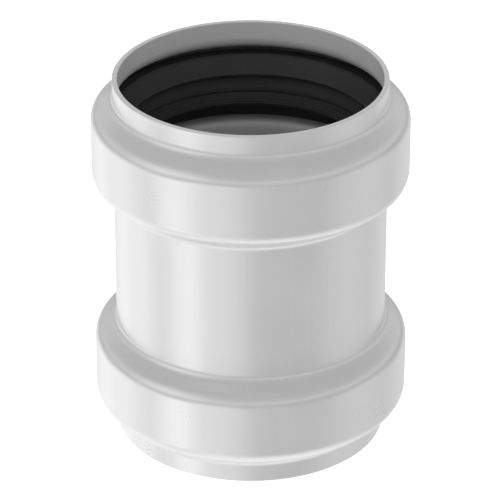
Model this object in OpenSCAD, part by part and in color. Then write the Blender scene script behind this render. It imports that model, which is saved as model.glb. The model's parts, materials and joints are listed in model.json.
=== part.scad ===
// Push-fit coupling for thin-walled stainless drainage pipe: a double-socket sleeve with a bulged
// seal chamber near each mouth. Each chamber holds two rubber rings, a wiper ring at the mouth side
// and a lip seal below it. The frame's origin is the middle of the sleeve, and +Z runs along its
// axis to the upper mouth. Every size is in millimetres.

/* [Pipe] */
// Outside diameter of the pipe that is pushed in
pipe_d = 75; // [70:1:90]
// Gap between the pipe and the sleeve's bore, on the radius
bore_gap = 0.6; // [0.5:0.1:0.8]

/* [Sleeve] */
// Length from mouth to mouth
length = 111; // [108:1:150]
// Sheet thickness
wall = 1.5; // [1.2:0.1:1.6]
// Height of the seal chamber's bulge over the sleeve, on the radius
bulge_rise = 6.3; // [6.2:0.1:6.6]
// Straight collar between the mouth and the bulge's shoulder
collar_h = 6.6; // [6.4:0.1:7]
// Angle between a shoulder of the bulge and the sleeve's axis
shoulder_angle = 60; // [56:1:62]
// Height of the bulge between its two shoulders
chamber_h = 20.1; // [19.8:0.1:20.6]
// Bend radius at the foot of a shoulder, on the outside
foot_bend_r = 2.7; // [2:0.1:3]
// Bend radius at the crown of a shoulder, on the outside
crown_bend_r = 4.5; // [4:0.1:4.8]

/* [Seals] */
// How far the wiper lip reaches into the pipe's path
wiper_bite = 1.8; // [1:0.1:2]
// How far the sealing lip reaches into the pipe's path
lip_bite = 3.3; // [2.5:0.1:3.5]
// Space round each ring in its chamber
seat_gap = 0.15; // [0.1:0.01:0.2]

/* [Hidden] */

pipe_r = pipe_d / 2;
bore_r = pipe_r + bore_gap;
chamber_r = bore_r + bulge_rise;
// Length of a shoulder along the axis, and how far its corners move along the axis per unit of
// thickness across it
shoulder_h = bulge_rise / tan(shoulder_angle);
corner_shift = tan(shoulder_angle / 2);
// Depths of the chamber's corners below the mouth, on the sleeve's inside
neck_in = collar_h + wall * corner_shift;
chamber_in = neck_in + shoulder_h;
chamber_out = collar_h + shoulder_h + chamber_h - wall * corner_shift;
neck_out = chamber_out + shoulder_h;
// Outermost radius of the rings, and the depths of their corners in the chamber
ring_r = chamber_r - seat_gap;
ring_top = chamber_in + seat_gap * corner_shift;
ring_bottom = chamber_out - seat_gap * corner_shift;
// Depth of the wiper ring's front edge, and of the plane where the two rings meet
front_depth = ring_top - 0.3;
joint_depth = front_depth + 11.1;
bend_steps = 8;

function unit(v) = v / norm(v);

// The arc of radius r that rounds the corner at b, on the way from a to c
function bend(a, b, c, r) =
    let (
        u = unit(a - b),
        v = unit(c - b),
        half = acos(u * v) / 2,
        centre = b + unit(u + v) * r / sin(half),
        from = b + u * r / tan(half) - centre,
        to = b + v * r / tan(half) - centre,
        start = atan2(from.y, from.x),
        turn = atan2(from.x * to.y - from.y * to.x, from * to)
    )
    [for (i = [0:bend_steps])
        centre + r * [cos(start + turn * i / bend_steps), sin(start + turn * i / bend_steps)]];

function flat(p) = [p[0], p[1]];

// An outline whose corners are [radius, height] or, where they are rounded, [radius, height, bend]
function rounded(corners) =
    let (n = len(corners))
    [for (i = [0:n - 1])
        let (b = corners[i], a = corners[(i + n - 1) % n], c = corners[(i + 1) % n])
        each (len(b) > 2 ? bend(flat(a), flat(b), flat(c), b[2]) : [flat(b)])];

function reversed(list) = [for (i = [len(list) - 1:-1:0]) list[i]];

// The same corners in the other half of the sleeve
function mirrored(corners) = [for (p = reversed(corners))
    len(p) > 2 ? [p[0], -p[1], p[2]] : [p[0], -p[1]]];

// Corners of one socket given as [radius, depth below the mouth, bend], at the upper mouth
function at_mouth(corners) = [for (p = corners)
    len(p) > 2 ? [p[0], length / 2 - p[1], p[2]] : [p[0], length / 2 - p[1]]];

// Depth at radius r of the line that lies seat_gap over the inner shoulder
function over_shoulder(r) = ring_bottom + (ring_r - r) / tan(shoulder_angle);

module turned(corners) {
    rotate_extrude($fn = 180) polygon(rounded(corners));
}

// One socket's outside corners from the mouth to the waist
function socket_outside() = at_mouth([
    [bore_r + wall, 0],
    [bore_r + wall, collar_h, foot_bend_r],
    [chamber_r + wall, collar_h + shoulder_h, crown_bend_r],
    [chamber_r + wall, collar_h + shoulder_h + chamber_h, crown_bend_r],
    [bore_r + wall, collar_h + 2 * shoulder_h + chamber_h, foot_bend_r]]);

// The same sheet's inside corners
function socket_inside() = at_mouth([
    [bore_r, 0],
    [bore_r, neck_in, foot_bend_r + wall],
    [chamber_r, chamber_in, crown_bend_r - wall],
    [chamber_r, chamber_out, crown_bend_r - wall],
    [bore_r, neck_out, foot_bend_r + wall]]);

// Stainless steel sleeve, one tube with both sockets formed in it
module sleeve() {
    outside = concat(socket_outside(), mirrored(socket_outside()));
    inside = concat(socket_inside(), mirrored(socket_inside()));
    color("gainsboro") turned(concat(outside, reversed(inside)));
}

// Rubber ring at the mouth side: a flat head under the shoulder, a wiper lip on a cone and a cove under it
module wiper_ring() {
    tip_r = pipe_r - wiper_bite;
    d = front_depth;
    face = joint_depth - seat_gap / 2;
    color("dimgray") turned(at_mouth([
        [ring_r, face, 0.3],
        [ring_r, d - 0.1, 2.2],
        [bore_r + 0.3, d - 0.1, 0.3],
        [tip_r, d + 5.2, 0.35],
        [tip_r + 0.7, d + 6.1, 0.25],
        [bore_r + 0.9, d + 2.2, 0.35],
        [bore_r + 2.1, d + 2.7, 0.35],
        [bore_r + 0.8, d + 6.5, 1.5],
        [pipe_r - 0.5, d + 9.8, 0.4],
        [pipe_r - 1.1, d + 10.2, 0.25],
        [pipe_r - 1.1, face, 0.2]]));
}

// Rubber ring below it: the sealing lip and a heel that stands on the chamber's inner shoulder
module lip_seal() {
    tip_r = pipe_r - lip_bite;
    d = joint_depth + seat_gap / 2;
    color("dimgray") turned(at_mouth([
        [ring_r, d, 0.3],
        [pipe_r - 1.1, d, 0.3],
        [pipe_r - 1.7, d + 1.7, 0.5],
        [tip_r + 1, d + 2.3, 0.4],
        [tip_r, d + 2.5, 0.25],
        [tip_r + 0.3, d + 3.4, 0.3],
        [bore_r + 1.1, d + 4.2, 1],
        [bore_r + 2.1, d + 6.6, 0.8],
        [bore_r + 2.4, over_shoulder(bore_r + 2.4), 0.3],
        [ring_r, ring_bottom, crown_bend_r - wall]]));
}

module upper_wiper_ring() { wiper_ring(); }
module upper_lip_seal() { lip_seal(); }
module lower_wiper_ring() { mirror([0, 0, 1]) wiper_ring(); }
module lower_lip_seal() { mirror([0, 0, 1]) lip_seal(); }

sleeve();
upper_wiper_ring();
upper_lip_seal();
lower_wiper_ring();
lower_lip_seal();
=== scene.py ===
"""Looks of the push-fit coupling: a pickled steel sleeve with two rubber rings in each socket.

Lengths are in metres unless a name ends in _MM. The axis is Z, and +Z is the upper mouth.
"""

import json
import math

import bmesh
import bpy
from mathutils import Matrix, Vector, noise


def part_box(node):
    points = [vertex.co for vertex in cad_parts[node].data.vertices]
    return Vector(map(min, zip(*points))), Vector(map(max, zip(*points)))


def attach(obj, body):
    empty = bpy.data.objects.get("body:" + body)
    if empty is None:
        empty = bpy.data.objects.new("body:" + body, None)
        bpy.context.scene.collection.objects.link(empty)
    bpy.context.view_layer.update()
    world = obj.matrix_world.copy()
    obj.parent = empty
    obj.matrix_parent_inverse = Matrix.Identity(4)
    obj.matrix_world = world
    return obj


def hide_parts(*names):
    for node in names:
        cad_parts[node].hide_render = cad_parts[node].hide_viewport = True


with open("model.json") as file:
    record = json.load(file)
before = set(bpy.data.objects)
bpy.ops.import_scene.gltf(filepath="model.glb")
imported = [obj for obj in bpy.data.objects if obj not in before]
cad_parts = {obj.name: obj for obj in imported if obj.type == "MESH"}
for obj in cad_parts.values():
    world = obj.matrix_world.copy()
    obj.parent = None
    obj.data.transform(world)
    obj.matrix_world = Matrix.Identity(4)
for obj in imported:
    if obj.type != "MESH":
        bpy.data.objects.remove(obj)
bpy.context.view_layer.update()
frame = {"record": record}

MM = 0.001

# ---------------------------------------------------------------- sizes

mounts = {mount["name"]: mount for mount in frame["record"]["mounts"]}

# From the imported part: half the length, the bore's radius, the sheet, the chamber's and the rings' radius
HALF_MM = mounts["upper_rim"]["pos_m"][2] / MM
BORE_MM = mounts["upper_socket"]["dims"]["r_mm"]
WALL_MM = 2 * (mounts["upper_rim"]["pos_m"][0] / MM - BORE_MM)
CHAMBER_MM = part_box("sleeve")[1].x / MM - WALL_MM
RING_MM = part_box("upper_wiper_ring")[1].x / MM

# The sleeve's outline: straight collar, shoulders against the axis, bulge between them, outside bends
COLLAR_MM = 6.6
SHOULDER_ANGLE = math.radians(60)
BULGE_MM = 20.1
FOOT_BEND_MM = 2.7
CROWN_BEND_MM = 4.5
EDGE_BREAK_MM = 0.22

# The pipe's radius, how far the two lips reach into its path, and the joint between the two rings
PIPE_MM = 37.5
WIPER_TIP_MM = PIPE_MM - 1.8
LIP_TIP_MM = PIPE_MM - 3.3
JOINT_GAP_MM = 0.08

# Depths below the mouth of the chamber's corners, the neck below it, the rings and the joint between them
SHOULDER_MM = (CHAMBER_MM - BORE_MM) / math.tan(SHOULDER_ANGLE)
CORNER_SHIFT = math.tan(SHOULDER_ANGLE / 2)
CHAMBER_TOP_MM = COLLAR_MM + WALL_MM * CORNER_SHIFT + SHOULDER_MM
CHAMBER_BOTTOM_MM = COLLAR_MM + SHOULDER_MM + BULGE_MM - WALL_MM * CORNER_SHIFT
NECK_OUT_MM = CHAMBER_BOTTOM_MM + SHOULDER_MM
RING_TOP_MM = CHAMBER_TOP_MM + (CHAMBER_MM - RING_MM) * CORNER_SHIFT
RING_BOTTOM_MM = CHAMBER_BOTTOM_MM - (CHAMBER_MM - RING_MM) * CORNER_SHIFT
FRONT_MM = RING_TOP_MM - 0.3
JOINT_MM = FRONT_MM + 11.1

# ---------------------------------------------------------------- outlines

ARC_STEP = math.radians(4)


def bend(before, corner, after, radius):
    """Points of the arc that rounds a corner, ending where its straight sides begin."""
    a, b, c = Vector(before), Vector(corner), Vector(after)
    u = (a - b).normalized()
    v = (c - b).normalized()
    half = math.acos(max(-1.0, min(1.0, u.dot(v)))) / 2
    centre = b + (u + v).normalized() * (radius / math.sin(half))
    start = b + u * (radius / math.tan(half)) - centre
    end = b + v * (radius / math.tan(half)) - centre
    turn = math.atan2(start.x * end.y - start.y * end.x, start.dot(end))
    steps = max(3, math.ceil(abs(turn) / ARC_STEP))
    angle = math.atan2(start.y, start.x)
    return [
        centre + radius * Vector((math.cos(angle + turn * i / steps), math.sin(angle + turn * i / steps)))
        for i in range(steps + 1)
    ]


def outline(corners, longest=2.5, holding=0.2):
    """Closed outline through corners (radius, depth, bend), with extra points along its straight runs.

    Each straight run gets a point close to both of its ends, so that smooth shading stays flat between them.
    """
    runs = []
    for i, corner in enumerate(corners):
        before, after = corners[i - 1], corners[(i + 1) % len(corners)]
        if corner[2] > 0:
            runs.append(bend(before[:2], corner[:2], after[:2], corner[2]))
        else:
            runs.append([Vector(corner[:2])])
    points = []
    for i, run in enumerate(runs):
        points += run
        a, b = run[-1], runs[(i + 1) % len(runs)][0]
        length = (b - a).length
        if length < 3 * holding:
            continue
        u = (b - a) / length
        inner = length - 2 * holding
        count = max(1, math.ceil(inner / longest))
        points += [a + u * (holding + inner * k / count) for k in range(count + 1)]
    return points


def sleeve_corners():
    """Corners of the sleeve's sheet in one closed loop, with depths below the upper mouth."""
    outer, inner, length = BORE_MM + WALL_MM, BORE_MM, 2 * HALF_MM
    crown = COLLAR_MM + SHOULDER_MM
    outside = [
        (outer, 0, EDGE_BREAK_MM),
        (outer, COLLAR_MM, FOOT_BEND_MM),
        (CHAMBER_MM + WALL_MM, crown, CROWN_BEND_MM),
        (CHAMBER_MM + WALL_MM, crown + BULGE_MM, CROWN_BEND_MM),
        (outer, crown + BULGE_MM + SHOULDER_MM, FOOT_BEND_MM),
    ]
    inside = [
        (inner, 0, EDGE_BREAK_MM),
        (inner, CHAMBER_TOP_MM - SHOULDER_MM, FOOT_BEND_MM + WALL_MM),
        (CHAMBER_MM, CHAMBER_TOP_MM, CROWN_BEND_MM - WALL_MM),
        (CHAMBER_MM, CHAMBER_BOTTOM_MM, CROWN_BEND_MM - WALL_MM),
        (inner, NECK_OUT_MM, FOOT_BEND_MM + WALL_MM),
    ]

    def both_ends(half):
        return half + [(r, length - depth, b) for r, depth, b in reversed(half)]

    return both_ends(outside) + both_ends(inside)[::-1]


def wiper_corners():
    """Corners of the ring at the mouth: a flat head with a bead, the wiper lip on a cone and its cove."""
    d = FRONT_MM
    face = JOINT_MM - JOINT_GAP_MM / 2
    return [
        (RING_MM, face, 0.3),
        (RING_MM, d - 0.1, 2.2),
        (BORE_MM + 1.1, d - 0.1, 0.15),
        (BORE_MM + 0.9, d - 0.4, 0.2),
        (BORE_MM + 0.45, d - 0.35, 0.2),
        (BORE_MM + 0.3, d + 0.2, 0.3),
        (WIPER_TIP_MM + 0.25, d + 4.6, 0.3),
        (WIPER_TIP_MM - 0.1, d + 4.95, 0.25),
        (WIPER_TIP_MM, d + 5.5, 0.25),
        (WIPER_TIP_MM + 0.7, d + 6.1, 0.25),
        (BORE_MM + 0.9, d + 2.2, 0.35),
        (BORE_MM + 2.1, d + 2.7, 0.35),
        (BORE_MM + 0.8, d + 6.5, 1.5),
        (PIPE_MM - 0.5, d + 9.8, 0.4),
        (PIPE_MM - 1.1, d + 10.2, 0.25),
        (PIPE_MM - 1.1, face, 0.12),
    ]


def lip_corners():
    """Corners of the ring below it: the sealing lip, its undercut and the heel on the inner shoulder."""
    d = JOINT_MM + JOINT_GAP_MM / 2
    heel = BORE_MM + 2.4
    return [
        (RING_MM, d, 0.3),
        (PIPE_MM - 1.1, d, 0.12),
        (PIPE_MM - 1.65, d + 1.5, 0.3),
        (PIPE_MM - 2, d + 1.6, 0.2),
        (PIPE_MM - 2, d + 2, 0.2),
        (LIP_TIP_MM + 1, d + 2.3, 0.3),
        (LIP_TIP_MM, d + 2.4, 0.25),
        (LIP_TIP_MM + 0.3, d + 3.4, 0.3),
        (BORE_MM + 1.1, d + 4.2, 1),
        (BORE_MM + 2.1, d + 6.6, 0.8),
        (heel, RING_BOTTOM_MM + (RING_MM - heel) / math.tan(SHOULDER_ANGLE), 0.3),
        (RING_MM, RING_BOTTOM_MM, CROWN_BEND_MM - WALL_MM),
    ]


# ---------------------------------------------------------------- meshes

SLEEVE_SEGMENTS = 256
RING_SEGMENTS = 192
# The formed sheet's unevenness, across it and along it
WAVE_HEIGHT_MM = 0.03
WAVE_LENGTH_MM = 17.0


def faces_axis(face):
    """Whether a face of a turned piece looks towards the Z axis, by more than 17 degrees."""
    middle = face.calc_center_median()
    return face.normal.dot(Vector((middle.x, middle.y, 0)).normalized()) < -0.3


def revolve(name, corners, upper, segments, body, node, materials, wave_height=0.0):
    """A turned piece on the Z axis that stands for a CAD node. wave_height in mm is its unevenness.

    The last of its materials goes on the faces that look towards the axis.
    """
    points = outline(corners)
    side = 1 if upper else -1
    mesh = bpy.data.meshes.new(name)
    form = bmesh.new()
    rings = []
    for k in range(segments):
        angle = 2 * math.pi * k / segments
        outward = Vector((math.cos(angle), math.sin(angle), 0))
        ring = []
        for p in points:
            place = outward * p.x + Vector((0, 0, side * (HALF_MM - p.y)))
            push = wave_height * noise.noise(place / WAVE_LENGTH_MM)
            ring.append(form.verts.new((place + outward * push) * MM))
        rings.append(ring)
    for k in range(segments):
        here, there = rings[k], rings[(k + 1) % segments]
        for i in range(len(points)):
            j = (i + 1) % len(points)
            form.faces.new((here[i], there[i], there[j], here[j]))
    bmesh.ops.recalc_face_normals(form, faces=form.faces)
    for face in form.faces:
        face.smooth = True
        face.material_index = len(materials) - 1 if faces_axis(face) else 0
    form.to_mesh(mesh)
    form.free()
    piece = bpy.data.objects.new(name, mesh)
    bpy.context.scene.collection.objects.link(piece)
    for material in materials:
        mesh.materials.append(material)
    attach(piece, body)
    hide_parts(node)
    return piece


# ---------------------------------------------------------------- materials


def map_range(tree, value, value_from, value_to, low, high, kind="SMOOTHSTEP"):
    """value from value_from to value_to taken to low to high, and held at those outside them."""
    node = tree.nodes.new("ShaderNodeMapRange")
    node.interpolation_type = kind
    settings = (value_from, value_to, low, high)
    for name, setting in zip(("From Min", "From Max", "To Min", "To Max"), settings):
        node.inputs[name].default_value = setting
    tree.links.new(value, node.inputs["Value"])
    return node.outputs["Result"]


class Nodes:
    """Short calls for building a material's node tree."""

    def __init__(self, name):
        self.material = bpy.data.materials.new(name)
        self.material.use_nodes = True
        self.tree = self.material.node_tree
        self.shader = self.tree.nodes["Principled BSDF"]
        self.place = self.tree.nodes.new("ShaderNodeTexCoord").outputs["Object"]

    def link(self, source, target):
        self.tree.links.new(source, target)

    def noise(self, scale, detail=4.0, stretch=(1, 1, 1)):
        """Noise of about 1 / scale metres, finer or coarser along an axis by stretch."""
        mapping = self.tree.nodes.new("ShaderNodeMapping")
        mapping.inputs["Scale"].default_value = stretch
        texture = self.tree.nodes.new("ShaderNodeTexNoise")
        texture.inputs["Scale"].default_value = scale
        texture.inputs["Detail"].default_value = detail
        self.link(self.place, mapping.inputs["Vector"])
        self.link(mapping.outputs["Vector"], texture.inputs["Vector"])
        return texture.outputs["Fac"]

    def spread(self, value, low, high):
        """A noise's usual reach, 0.3 to 0.7, taken to low to high."""
        return map_range(self.tree, value, 0.3, 0.7, low, high, "LINEAR")

    def shade_in_chamber(self, shade):
        """Painted shade: shade from the heel's edge through the chamber in both halves, and 1 in the waist
        and collars.
        """
        split = self.tree.nodes.new("ShaderNodeSeparateXYZ")
        self.link(self.place, split.inputs[0])
        height = self.math("ABSOLUTE", split.outputs["Z"], 0)
        neck, mouth = (HALF_MM - NECK_OUT_MM) * MM, HALF_MM * MM
        over_neck = map_range(self.tree, height, neck - 1 * MM, neck + 2.5 * MM, 0, 1)
        under_collar = map_range(self.tree, height, mouth - 10 * MM, mouth - 8 * MM, 1, 0)
        inside = self.math("MULTIPLY", over_neck, under_collar)
        return self.math("SUBTRACT", 1, self.math("MULTIPLY", inside, 1 - shade))

    def math(self, operation, a, b):
        node = self.tree.nodes.new("ShaderNodeMath")
        node.operation = operation
        for socket, value in zip(node.inputs, (a, b)):
            if isinstance(value, (int, float)):
                socket.default_value = value
            else:
                self.link(value, socket)
        return node.outputs["Value"]

    def grey(self, level):
        """The grey of that level."""
        node = self.tree.nodes.new("ShaderNodeCombineColor")
        for socket in node.inputs:
            self.link(level, socket)
        return node.outputs["Color"]

    def bump(self, height, distance):
        node = self.tree.nodes.new("ShaderNodeBump")
        node.inputs["Distance"].default_value = distance
        self.link(height, node.inputs["Height"])
        return node.outputs["Normal"]


def pickled_steel(name, metallic, roughness, chamber_shade=None):
    """Matt stainless steel: cloudy from the pickling bath, with a fine grain and faint lengthwise streaks.

    Its last argument darkens it from the seal chamber to the heel's edge: painted shade, in place of the
    shade under the rubber.
    """
    n = Nodes(name)
    clouds = n.noise(70, 5)
    grain = n.noise(2600, 2)
    streaks = n.noise(900, 3, (1, 1, 0.03))
    level = n.math("ADD", n.spread(clouds, 0.79, 0.81), n.spread(grain, -0.006, 0.006))
    level = n.math("ADD", level, n.spread(streaks, -0.006, 0.006))
    # Painted shade: the colour is darkened through the seal chamber, in place of the shade under the rubber
    if chamber_shade is not None:
        level = n.math("MULTIPLY", level, n.shade_in_chamber(chamber_shade))
    n.link(n.grey(level), n.shader.inputs["Base Color"])
    uneven = n.math("ADD", n.spread(clouds, roughness - 0.02, roughness + 0.02), n.spread(grain, -0.01, 0.01))
    n.link(uneven, n.shader.inputs["Roughness"])
    n.shader.inputs["Metallic"].default_value = metallic
    return n.material


def moulded_rubber():
    """Black rubber straight from the mould: matt, with a faint bloom and a fine grain."""
    n = Nodes("moulded_rubber")
    bloom = n.noise(120, 5)
    grain = n.noise(3200, 2)
    level = n.math("ADD", n.spread(bloom, 0.024, 0.034), n.spread(grain, -0.004, 0.004))
    n.link(n.grey(level), n.shader.inputs["Base Color"])
    n.link(n.spread(bloom, 0.5, 0.6), n.shader.inputs["Roughness"])
    n.shader.inputs["Specular IOR Level"].default_value = 0.4
    n.link(n.bump(grain, 0.000004), n.shader.inputs["Normal"])
    return n.material


def pale_floor(glow):
    """White seamless floor with a glow of its own."""
    n = Nodes("pale_floor")
    n.link(n.grey(n.spread(n.noise(6, 2), 0.89, 0.91)), n.shader.inputs["Base Color"])
    n.shader.inputs["Roughness"].default_value = 0.9
    n.shader.inputs["Emission Color"].default_value = (1, 1, 1, 1)
    n.shader.inputs["Emission Strength"].default_value = glow
    return n.material


# ---------------------------------------------------------------- stage

# The photograph's view: where the camera stands, its lens and its shift, fitted to the outline
CAMERA_AT = Vector((0, -0.8327, 0.4428))
LENS_MM = 231.97
SHIFT = (-0.00134, -0.0032)

FLOOR_RADIUS = 6.0
FLOOR_SEGMENTS = 64
FLOOR_GLOW = 0.9


def add_camera():
    data = bpy.data.cameras.new("camera")
    data.lens = LENS_MM
    data.sensor_width = 36
    data.shift_x, data.shift_y = SHIFT
    data.clip_start = 0.05
    camera = bpy.data.objects.new("camera", data)
    camera.location = CAMERA_AT
    camera.rotation_euler = (-CAMERA_AT).to_track_quat("-Z", "Y").to_euler()
    bpy.context.scene.collection.objects.link(camera)
    bpy.context.scene.camera = camera


def add_floor():
    """A wide floor at the lower mouth, in two parts: the spot under the bore and the rest.

    The spot lights and shades like any floor. The dome's lower half stands in for the light of the rest.
    """
    spot_radius = (BORE_MM + WALL_MM / 2) * MM
    for name, inner, outer, lights_steel, glow in (
        ("floor_spot", 0, spot_radius, True, 0.0),
        ("floor", spot_radius, FLOOR_RADIUS, False, FLOOR_GLOW),
    ):
        mesh = bpy.data.meshes.new(name)
        form = bmesh.new()
        outer_ring = bmesh.ops.create_circle(form, segments=FLOOR_SEGMENTS, radius=outer)["verts"]
        if inner:
            inner_ring = bmesh.ops.create_circle(form, segments=FLOOR_SEGMENTS, radius=inner)["verts"]
            for k in range(FLOOR_SEGMENTS):
                j = (k + 1) % FLOOR_SEGMENTS
                form.faces.new((inner_ring[k], outer_ring[k], outer_ring[j], inner_ring[j]))
        else:
            form.faces.new(outer_ring)
        bmesh.ops.recalc_face_normals(form, faces=form.faces)
        form.to_mesh(mesh)
        form.free()
        mesh.materials.append(pale_floor(glow))
        floor = bpy.data.objects.new(name, mesh)
        floor.location.z = -HALF_MM * MM
        floor.visible_diffuse = floor.visible_glossy = floor.visible_shadow = lights_steel
        bpy.context.scene.collection.objects.link(floor)


# The brightness of every layer and panel was fitted to the photographed shades by least squares, and rounded;
# the sky's and the band's were then changed.
# Layers of the studio's dome by the sine of the elevation: where each fades in, where it fades out (out of
# reach, below -1 or over 1, where it doesn't) and what it adds to the dome's brightness
LAYERS = [
    ("sky", (-0.1, 0.35), (2, 3), 0.52),
    ("band_over_horizon", (-0.05, 0.15), (0.35, 0.6), 0.20),
    ("horizon", (-0.35, -0.1), (0.1, 0.3), 0.28),
    ("ground", (-3, -2), (-0.35, 0.05), 0.55),
    ("nadir", (-3, -2), (-0.95, -0.6), 0.61),
]
# Soft panels on the dome: azimuth from the front towards the right, elevation, the radius of the even part
# and of the fading edge, all in degrees, and what each adds
PANELS = [
    (-150, -30, 6, 32, 0.44),
    (-120, -30, 6, 32, 0.37),
    (-90, -30, 6, 32, 0.38),
    (-57, -30, 3, 16, 0.69),
    (-30, -30, 6, 32, 0.41),
    (90, -30, 6, 32, 0.21),
    (150, -30, 6, 32, 0.28),
    (-60, 22, 4, 34, 0.32),
]


def add_studio():
    """The dome all round: its layers and the soft panels, added up."""
    world = bpy.data.worlds.new("studio")
    bpy.context.scene.world = world
    world.use_nodes = True
    tree = world.node_tree
    direction = tree.nodes.new("ShaderNodeTexCoord").outputs["Generated"]
    split = tree.nodes.new("ShaderNodeSeparateXYZ")
    tree.links.new(direction, split.inputs[0])

    def join(operation, a, b):
        node = tree.nodes.new("ShaderNodeMath")
        node.operation = operation
        tree.links.new(a, node.inputs[0])
        tree.links.new(b, node.inputs[1])
        return node.outputs[0]

    height = split.outputs["Z"]
    lights = []
    for _, fade_in, fade_out, gain in LAYERS:
        risen, left = map_range(tree, height, *fade_in, 0, gain), map_range(tree, height, *fade_out, 1, 0)
        lights.append(join("MULTIPLY", risen, left))
    for azimuth, elevation, inner, outer, gain in PANELS:
        a, e = math.radians(azimuth), math.radians(elevation)
        towards = tree.nodes.new("ShaderNodeVectorMath")
        towards.operation = "DOT_PRODUCT"
        towards.inputs[1].default_value = (math.cos(e) * math.sin(a), -math.cos(e) * math.cos(a), math.sin(e))
        tree.links.new(direction, towards.inputs[0])
        faded, full = math.cos(math.radians(outer)), math.cos(math.radians(inner))
        lights.append(map_range(tree, towards.outputs["Value"], faded, full, 0, gain))
    total = lights[0]
    for light in lights[1:]:
        total = join("ADD", total, light)
    tree.links.new(total, tree.nodes["Background"].inputs["Color"])


# ---------------------------------------------------------------- the coupling

# The inside copy's colour carries painted shade: it is darkened to 0.3 of its level in the seal chambers
steel = [pickled_steel("pickled_steel", 0.65, 0.3), pickled_steel("pickled_steel_inside_painted_shade", 0.15, 0.4, 0.3)]
rubber = [moulded_rubber()]
revolve(
    "sleeve_formed",
    sleeve_corners(),
    True,
    SLEEVE_SEGMENTS,
    "sleeve",
    "sleeve",
    steel,
    WAVE_HEIGHT_MM,
)
for side in ("upper", "lower"):
    for part, body, corners in (
        ("wiper_ring", "wiper", wiper_corners()),
        ("lip_seal", "seal", lip_corners()),
    ):
        revolve(
            f"{side}_{part}_moulded",
            corners,
            side == "upper",
            RING_SEGMENTS,
            f"{side}_{body}",
            f"{side}_{part}",
            rubber,
        )

add_floor()
add_studio()
add_camera()
bpy.context.scene.view_settings.view_transform = "Standard"
